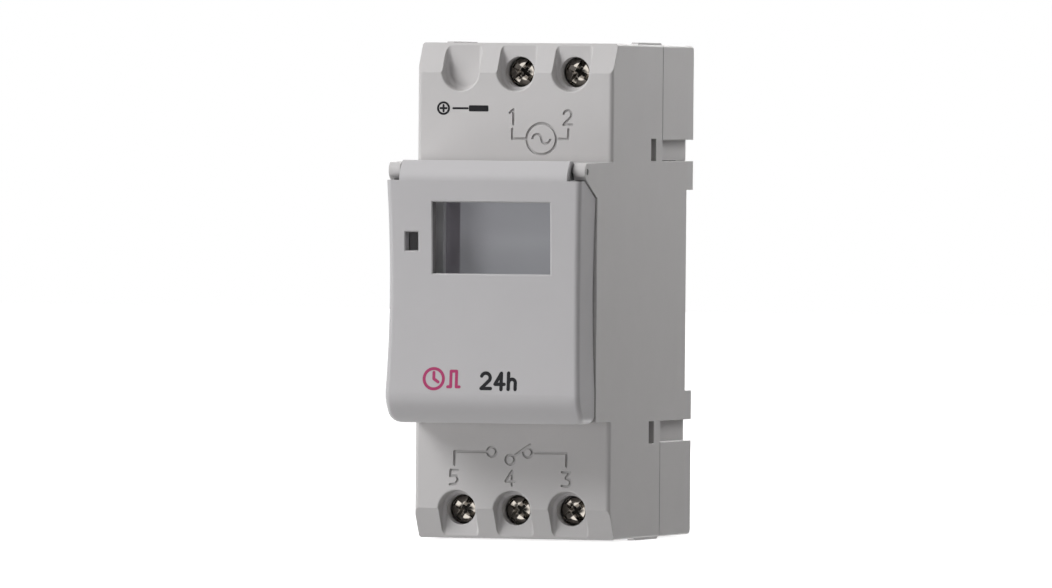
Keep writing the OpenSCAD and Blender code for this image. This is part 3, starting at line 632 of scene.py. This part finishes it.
def build_signs():
    """A clock beside a pulse and "24h" low on the door, and a screwdriver under the upper scoops."""
    clock_x, clock_z = -8.65, -15.05
    dial = arc(clock_x, clock_z, 1.75, 0, 360, 40)
    hands = [(clock_x, clock_z + 1.1), (clock_x, clock_z), (clock_x + 0.8, clock_z - 0.55)]
    pulse = [(-6.1, -16.4), (-5.55, -16.4), (-5.55, -13.7), (-4.55, -13.7), (-4.55, -16.4), (-4.0, -16.4)]
    printed("timer_sign", [dial, hands, pulse], 0.52, "door", "door_grey", PRINT_MAGENTA, door_surface)

    two = arc(0.75, -14.75, 0.8, 160, -35, 10) + [(-0.05, -16.6), (1.65, -16.6)]
    four = [(3.55, -16.75), (3.55, -13.95), (2.45, -15.85), (4.1, -15.85)]
    stem = [(4.85, -13.9), (4.85, -16.7)]
    shoulder = arc(5.5, -15.55, 0.6, 170, 0, 10) + [(6.1, -16.7)]
    printed("hours_sign", [two, four, stem, shoulder], 0.6, "door", "door_grey", PRINT_BLACK, door_surface)

    x, z = -13.0, 31.6
    cross = [[(x - 0.55, z), (x + 0.55, z)], [(x, z - 0.55), (x, z + 0.55)]]
    blade = [(x + 1.8, z), (x + 4.4, z)]
    handle = box_lines(x + 4.8, z - 0.35, x + 8.0, z + 0.35)
    printed("screwdriver_sign", [arc(x, z, 1.0, 0, 360, 28), *cross, blade, *handle],
            0.36, "housing", "housing_grey", PRINT_BLACK, level(SHOULDER_Y))


# ------------------------------------------------------------------ display and keys

def build_display():
    """Two glass plates with a blank display face, which leaves a dark margin on the left."""
    middle = (lcd_low.y + lcd_high.y) / 2
    ledge = 1.2 * MM
    border = 0.2 * MM
    plate_low = Vector((lcd_low.x, lcd_low.y + 0.06 * MM, lcd_low.z + ledge))
    plate_high = Vector((lcd_high.x, middle, lcd_high.z - ledge))
    front = eased_box("display_front_plate", plate_low, plate_high, 0.12 * MM)
    rear = eased_box("display_rear_plate", (lcd_low.x, middle, lcd_low.z), lcd_high, 0.12 * MM)
    sheet_low = (lcd_low.x + DISPLAY_MARGIN, lcd_low.y, plate_low.z + border)
    sheet_high = (lcd_high.x - 0.3 * MM, lcd_low.y + 0.07 * MM, plate_high.z - border)
    sheet = eased_box("display_polariser", sheet_low, sheet_high, 0.02 * MM)
    dress(front, "housing", "display_glass", "lcd_glass")
    dress(rear, "housing", "display_glass")
    dress(sheet, "housing", "display_glass", material=DISPLAY_PAINTED_FACE)


def key_sign(key, x, z):
    """The lines of a key's pictogram about its centre."""
    if key == "clock":
        return [arc(x, z, 0.95, 0, 360), [(x, z + 0.6), (x, z), (x + 0.45, z)]]
    if key == "program":
        return [[(x - 1.1, z + dz), (x + 1.1, z + dz)] for dz in (-0.7, 0, 0.7)]
    if key == "day":
        dot = 0.01
        return [[(x + dx, z), (x + dx + dot, z)] for dx in (-1.8, -1.2, -0.6, 0, 0.6, 1.2, 1.8)]
    if key == "hour":
        arch = arc(x, z - 0.15, 0.5, 170, 0, 8) + [(x + 0.5, z - 0.9)]
        return [[(x - 0.5, z + 0.9), (x - 0.5, z - 0.9)], arch]
    if key == "minute":
        stems = [[(x - 0.9, z - 0.7), (x - 0.9, z + 0.5)], [(x, z + 0.05), (x, z - 0.7)],
                 [(x + 0.9, z), (x + 0.9, z - 0.7)]]
        return stems + [arc(x + dx, z + 0.05, 0.45, 170, 0, 8) for dx in (-0.45, 0.45)]
    if key == "manual":
        return [arc(x, z, 0.9, 120, 420, 20), [(x, z + 1.05), (x, z + 0.1)]]
    return [arc(x, z, 0.55, 40, 330, 14)]


def build_keys():
    """The seven keys, each with a white pictogram on its face."""
    for key in KEYS:
        body = f"key_{key}"
        slot = "key_accent" if key == "manual" else "key_dark"
        from_node(body, f"{key}_key", body, slot, 35)
        low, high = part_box(body)
        centre = (low + high) / 2 / MM
        printed(f"{key}_key_sign", key_sign(key, centre.x, centre.z), 0.2, body, slot, PRINT_WHITE,
                level(low.y))


# ------------------------------------------------------------------ terminal screws

SCREW_TURNS = {1: 38, 2: 28, 3: 52, 4: 40, 5: 33}
SHANK_R = 1.72 * MM
HEAD_T = 2 * MM
DOME_R = 6.4 * MM
DOME_RINGS = (0.4, 0.8, 1.2, 1.6, 1.9, 2.15)
THREAD_PITCH = 0.6 * MM
THREAD_DEPTH = 0.2 * MM
CROSS_DEPTH = 1.6 * MM
CROSS_HALF_LENGTH = 2.42 * MM
CROSS_HALF_WIDTH = 0.58 * MM


def cross_cutter():
    """A tapered cross that points along +Y from the origin."""
    bm = bmesh.new()
    rings = []
    for y, share in ((-1.0 * MM, 1.0), (0.0, 1.0), (CROSS_DEPTH * 0.6, 0.82), (CROSS_DEPTH, 0.42)):
        length = CROSS_HALF_LENGTH * share
        width = CROSS_HALF_WIDTH * (0.4 + 0.6 * share)
        ring = []
        for arm in range(4):
            spin = Matrix.Rotation(math.radians(-90 * arm), 3, "Y")
            for x, z in ((length, -width), (length, width), (width, width)):
                ring.append(bm.verts.new(spin @ Vector((x, y, z))))
        rings.append(ring)
    join_rings(bm, rings)
    cap_rings(bm, rings)
    return new_object("cutter", bm)


def screw_profile():
    """A screw's outline as (radius, y): a domed head, then a shank with a ridge at every turn."""
    dome = [(r * MM, DOME_R - math.sqrt(DOME_R ** 2 - (r * MM) ** 2)) for r in DOME_RINGS]
    rim = [(2.28 * MM, 0.46 * MM), (2.36 * MM, 0.60 * MM), (HEAD_R, 0.80 * MM),
           (HEAD_R, HEAD_T - 0.12 * MM), (HEAD_R - 0.12 * MM, HEAD_T), (SHANK_R, HEAD_T + 0.01 * MM)]
    end = screw_high.y - HEAD_Y
    thread = []
    y = HEAD_T + 0.3 * MM
    while y < end - THREAD_PITCH:
        thread += [(SHANK_R, y), (SHANK_R - THREAD_DEPTH, y + THREAD_PITCH / 2)]
        y += THREAD_PITCH
    tip = [(SHANK_R, y), (SHANK_R - 0.3 * MM, end), (0, end)]
    return [(0, 0), *dome, *rim, *thread, *tip]


def build_screws():
    """Five screws with a cross recess, each turned its own way, and their cages."""
    profile = screw_profile()
    for number, turn in SCREW_TURNS.items():
        screw = new_object(f"screw_{number}_body", lathe(profile))
        combine(screw, cross_cutter(), "DIFFERENCE")
        place = Matrix.Translation((SCREWS[number].x, HEAD_Y, SCREWS[number].z))
        screw.data.transform(place @ Matrix.Rotation(math.radians(turn), 4, "Y"))
        smooth(screw, 32)
        dress(screw, f"screw_{number}", "screw_nickel", f"terminal_screw_{number}")
        from_node(f"terminal_cage_{number}", f"cage_{number}_body", f"cage_{number}", "cage_plated")


# ------------------------------------------------------------------ inside parts

INSIDE = {
    "lcd_frame": "carrier_white", "lcd_connector": "elastomer", "control_board": "board_green",
    "key_switches": "component_black", "status_led": "lamp_red", "light_pipe": "clear_plastic",
    "processor": "component_black", "crystal": "can_steel", "board_header": "brass",
    "cell_holder": "component_black", "backup_cell": "can_steel", "power_board": "board_green",
    "relay": "relay_case", "drop_capacitor": "film_yellow", "smoothing_capacitor": "sleeve_blue",
    "varistor": "varistor_blue", "rectifier": "component_black", "contact_tongues": "brass",
}


def build_spring():
    """The latch's spring, which rides on the housing with a mesh of its own."""
    spring = from_node("latch_spring", "spring_wire", "housing", "spring_steel", 70)
    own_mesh(spring)


def build_inside():
    """The boards and what stands on them."""
    for node, slot in INSIDE.items():
        # The light pipe's face has painted light: a faint glow, brighter towards the right
        material = PIPE_PAINTED_GLOW if node == "light_pipe" else None
        from_node(node, f"{node}_body", "housing", slot, material=material)


# ------------------------------------------------------------------ stage: light, camera and floor

WORLD_BELOW = 0.20
WORLD_ABOVE = 0.24
WORLD_LEFT = 1.25
WORLD_RIGHT = 0.5
REFLECTED_DARK = 0.02
REFLECTED_BRIGHT = 4.0


def direction(azimuth, elevation):
    """The direction from the timer to a place around it; azimuth 0 is the front, and 90 the right side."""
    az, el = math.radians(azimuth), math.radians(elevation)
    return Vector((math.sin(az) * math.cos(el), -math.cos(az) * math.cos(el), math.sin(el)))


def panel_light(name, azimuth, elevation, strength, width, distance=0.8):
    """A round soft light in a direction, whose strength doesn't depend on its distance."""
    data = bpy.data.lights.new(name, "AREA")
    data.shape = "DISK"
    data.size = width
    data.energy = strength * (math.pi * distance) ** 2
    lamp = bpy.data.objects.new(name, data)
    back = direction(azimuth, elevation)
    middle = Vector((0, -0.03, 0))
    lamp.location = middle + back * distance
    lamp.rotation_euler = back.to_track_quat("Z", "Y").to_euler()
    bpy.context.scene.collection.objects.link(lamp)


def world_strength(tree, path):
    """A dim grey for diffuse light; for reflections, bright above, below and to the front right."""
    place = axes(tree, "Generated")
    height = mapped(tree, place["Z"], -1, 1, WORLD_BELOW, WORLD_ABOVE)
    across = mapped(tree, place["X"], -1, 1, WORLD_LEFT, WORLD_RIGHT)
    diffuse = maths(tree, "MULTIPLY", height, across)
    in_front = maths(tree, "MULTIPLY", place["Y"], -1.0)
    front_right = maths(tree, "MAXIMUM", maths(tree, "MINIMUM", place["X"], in_front), 0.0)
    off_axis = maths(tree, "ADD", maths(tree, "ABSOLUTE", place["Z"]), front_right)
    reflected = eased(tree, off_axis, 0.14, 0.36, REFLECTED_DARK, REFLECTED_BRIGHT)
    choice = add(tree, "ShaderNodeMix", data_type="FLOAT")
    tree.links.new(path.outputs["Is Glossy Ray"], choice.inputs[0])
    tree.links.new(diffuse, choice.inputs[2])
    tree.links.new(reflected, choice.inputs[3])
    return choice.outputs[0]


def build_world():
    """White for the camera, and a soft studio for the light that falls on the timer."""
    world = bpy.data.worlds.new("studio")
    bpy.context.scene.world = world
    world.use_nodes = True
    tree = world.node_tree
    tree.nodes.clear()
    path = add(tree, "ShaderNodeLightPath")
    cast = add(tree, "ShaderNodeBackground", Color=(1, 0.995, 0.985, 1))
    tree.links.new(world_strength(tree, path), cast.inputs["Strength"])
    seen = add(tree, "ShaderNodeBackground", Color=(1, 1, 1, 1), Strength=1.0)
    mix = add(tree, "ShaderNodeMixShader")
    tree.links.new(path.outputs["Is Camera Ray"], mix.inputs[0])
    tree.links.new(cast.outputs[0], mix.inputs[1])
    tree.links.new(seen.outputs[0], mix.inputs[2])
    out = add(tree, "ShaderNodeOutputWorld")
    tree.links.new(mix.outputs[0], out.inputs[0])


def build_camera():
    """A long lens to the right of the front, a little above the middle, which leans slightly."""
    azimuth, elevation, roll = 17.37, 0.63, 0.49
    distance = 2.531
    back = direction(azimuth, elevation)
    right = direction(azimuth + 90, 0)
    up = back.cross(right)
    target = -right * 11.13 * MM - up * 0.96 * MM
    data = bpy.data.cameras.new("camera")
    data.lens = 491.7
    data.sensor_width = 36
    data.clip_end = 20
    camera = bpy.data.objects.new("camera", data)
    camera.location = back * distance
    look = (target - camera.location).to_track_quat("-Z", "Y").to_matrix()
    camera.rotation_euler = (look @ Matrix.Rotation(math.radians(roll), 3, "Z")).to_euler()
    bpy.context.scene.collection.objects.link(camera)
    bpy.context.scene.camera = camera


def floor_material():
    """Matt white with a glow that meets the white surround; clear when seen from below."""
    mat, tree, shader = new_material("floor_white")
    shader.inputs["Base Color"].default_value = (0.8, 0.8, 0.8, 1)
    shader.inputs["Roughness"].default_value = 1.0
    shader.inputs["Specular IOR Level"].default_value = 0.0
    where = add(tree, "ShaderNodeTexCoord")
    length = add(tree, "ShaderNodeVectorMath", operation="LENGTH")
    tree.links.new(where.outputs["Object"], length.inputs[0])
    glow = mapped(tree, length.outputs["Value"], 0.08, 0.3, 0.7, 1)
    tree.links.new(glow, shader.inputs["Emission Strength"])
    shader.inputs["Emission Color"].default_value = (1, 1, 1, 1)
    side = add(tree, "ShaderNodeNewGeometry")
    clear = add(tree, "ShaderNodeBsdfTransparent")
    mix = add(tree, "ShaderNodeMixShader")
    tree.links.new(side.outputs["Backfacing"], mix.inputs[0])
    tree.links.new(shader.outputs[0], mix.inputs[1])
    tree.links.new(clear.outputs[0], mix.inputs[2])
    tree.links.new(mix.outputs[0], tree.nodes["Material Output"].inputs["Surface"])
    return mat


def build_floor():
    """A white floor that the timer stands on, which casts no light or shadow on it."""
    half = 3.0
    z = cad_bounds[0][2] - 0.02 * MM
    mesh = bpy.data.meshes.new("floor")
    corners = [(-half, -half, z), (half, -half, z), (half, half, z), (-half, half, z)]
    mesh.from_pydata(corners, [], [(0, 1, 2, 3)])
    floor = bpy.data.objects.new("floor", mesh)
    bpy.context.scene.collection.objects.link(floor)
    floor.data.materials.append(floor_material())
    floor.visible_diffuse = False
    floor.visible_glossy = False
    floor.visible_shadow = False


def build_stage():
    """The surround, the camera, the floor and four soft lights."""
    build_world()
    build_camera()
    build_floor()
    panel_light("key", -44, 35, 0.60, 0.42)
    panel_light("front_fill", -40, -10, 0.31, 0.5)
    panel_light("rear_right", 122, 40, 0.33, 0.35, distance=0.45)
    panel_light("back_fill", 178, 12, 0.22, 0.3)
    bpy.context.scene.view_settings.view_transform = "Standard"


# ------------------------------------------------------------------ the timer and its stage

from_node("front_housing", "front_housing_shell", "housing", "housing_grey")
build_rear_base()
build_door()
from_node("control_panel", "panel_fascia", "housing", "panel_grey")
from_node("rail_latch", "latch_foot", "latch", "latch_plastic")
build_signs()
build_display()
build_keys()
build_screws()
build_spring()
build_inside()
build_stage()
